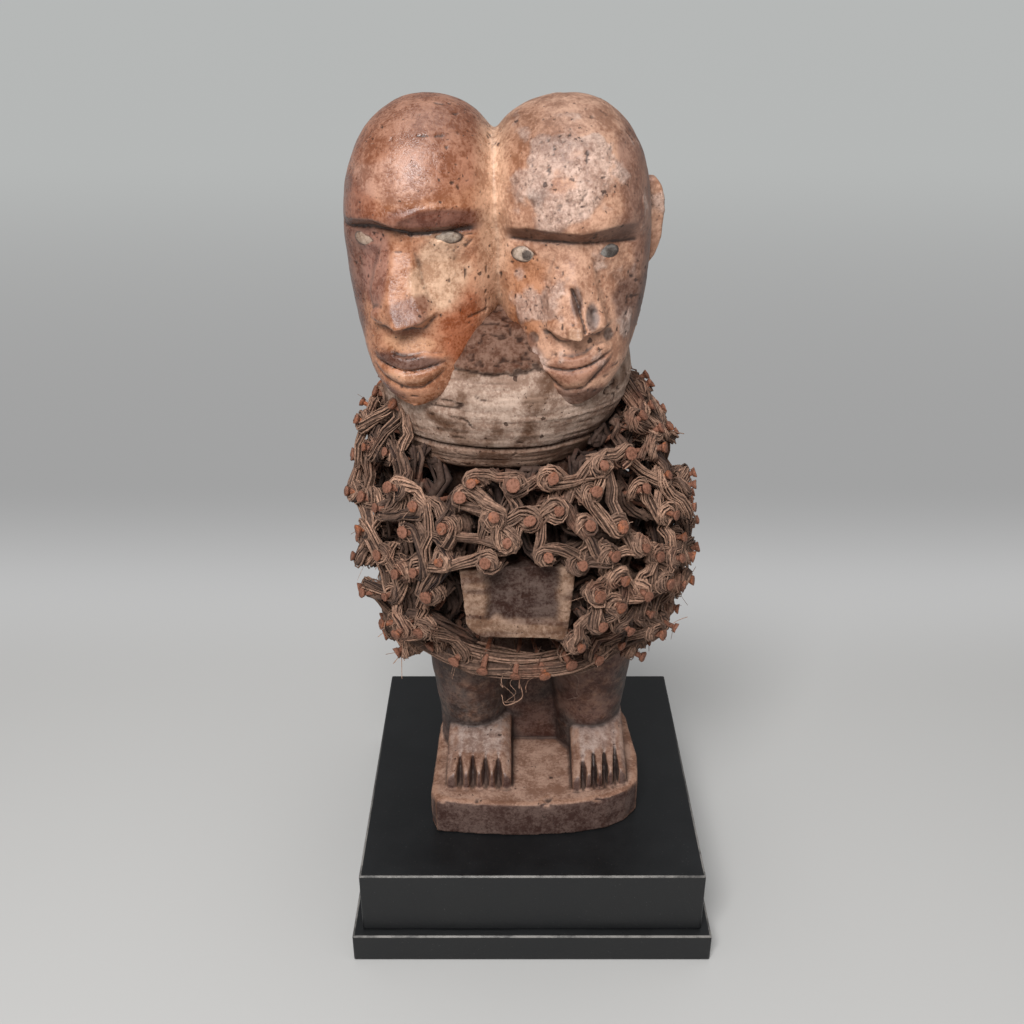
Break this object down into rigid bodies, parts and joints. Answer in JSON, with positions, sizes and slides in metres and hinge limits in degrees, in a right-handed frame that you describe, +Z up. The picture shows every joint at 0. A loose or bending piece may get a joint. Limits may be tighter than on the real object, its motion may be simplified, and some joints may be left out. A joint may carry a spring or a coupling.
{
  "type": "two-headed nkisi nkondi figure",
  "caption": "Carved wooden power figure with two joined heads, its body bound in iron nails and fibre cord round a belly box, standing on a stepped black plinth.",
  "frame": {"origin": "centre of the plinth's underside, on the surface that the figure stands on", "axes": "+Z up; the faces look along -Y; +X is to the right of a viewer in front"},
  "size_m": [0.224, 0.224, 0.5039],
  "materials": {
    "black_paint": "satin black paint, worn grey along the edges",
    "carved_wood": "old hand-polished hardwood, from glossy red-brown to dry and crusted",
    "box_wood": "dry wood with a dark hollow and worn pale borders",
    "eye_inlay": "clouded grey-white inlay",
    "rusted_iron": "rough orange-brown rust",
    "fibre_cord": "dry twisted plant fibre, dark with tan highlights"
  },
  "bodies": {
    "root": {"plinth": "black_paint", "carved_figure": "carved_wood", "belly_box": "box_wood", "left_head_left_eye": "eye_inlay", "left_head_right_eye": "eye_inlay", "right_head_left_eye": "eye_inlay", "right_head_right_eye": "eye_inlay", "nail_1": "rusted_iron", "nail_2": "rusted_iron", "nail_3": "rusted_iron", "nail_4": "rusted_iron", "nail_5": "rusted_iron", "nail_6": "rusted_iron", "nail_7": "rusted_iron", "nail_8": "rusted_iron", "nail_9": "rusted_iron", "nail_10": "rusted_iron", "nail_11": "rusted_iron", "nail_12": "rusted_iron", "bound_nails_low_1": "fibre_cord", "bound_nails_low_2": "fibre_cord", "bound_nails_low_3": "fibre_cord", "bound_nails_low_4": "fibre_cord", "bound_nails_low_5": "fibre_cord", "bound_nails_middle_1": "fibre_cord", "bound_nails_middle_2": "fibre_cord", "bound_nails_middle_3": "fibre_cord", "bound_nails_middle_4": "fibre_cord", "bound_nails_middle_5": "fibre_cord", "bound_nails_high_1": "fibre_cord", "bound_nails_high_2": "fibre_cord", "bound_nails_high_3": "fibre_cord", "bound_nails_high_4": "fibre_cord", "bound_nails_high_5": "fibre_cord"}
  },
  "joints": []
}
